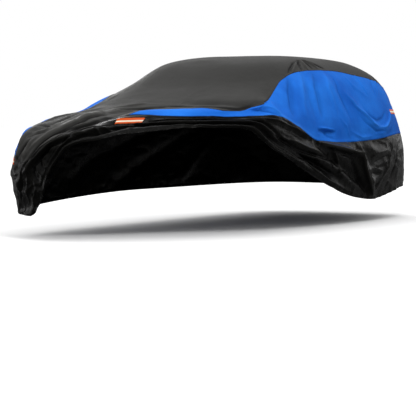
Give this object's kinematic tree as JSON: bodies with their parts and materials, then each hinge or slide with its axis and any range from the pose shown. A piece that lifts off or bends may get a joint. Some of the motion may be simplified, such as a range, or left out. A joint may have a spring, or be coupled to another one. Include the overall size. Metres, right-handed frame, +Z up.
{
  "type": "car cover",
  "caption": "Fitted cloth cover draped as over a compact hatchback, with its front left corner drawn back over the bonnet.",
  "frame": {"origin": "the point under the crest of the roof where the cloth rests on the car; the floor is 1.441 m below it", "axes": "-Y towards the front of the covered car, +X towards the car's left side, +Z up"},
  "size_m": [1.9053, 4.4509, 1.2643],
  "materials": {
    "charcoal_cloth": "matt coated polyester, plain fine weave",
    "blue_cloth": "satin coated polyester, plain fine weave",
    "black_cloth": "glossy coated polyester, plain fine weave",
    "orange_strip": "satin reflective tape with a cream centre line"
  },
  "bodies": {
    "root": {"top_panel": "charcoal_cloth", "side_panel_left": "blue_cloth", "side_panel_right": "blue_cloth", "skirt_front": "black_cloth", "skirt_left": "black_cloth", "skirt_rear": "black_cloth", "skirt_right": "black_cloth", "strip_front_left": "orange_strip", "strip_front_right": "orange_strip", "strip_rear_left": "orange_strip", "strip_rear_right": "orange_strip"}
  },
  "joints": []
}
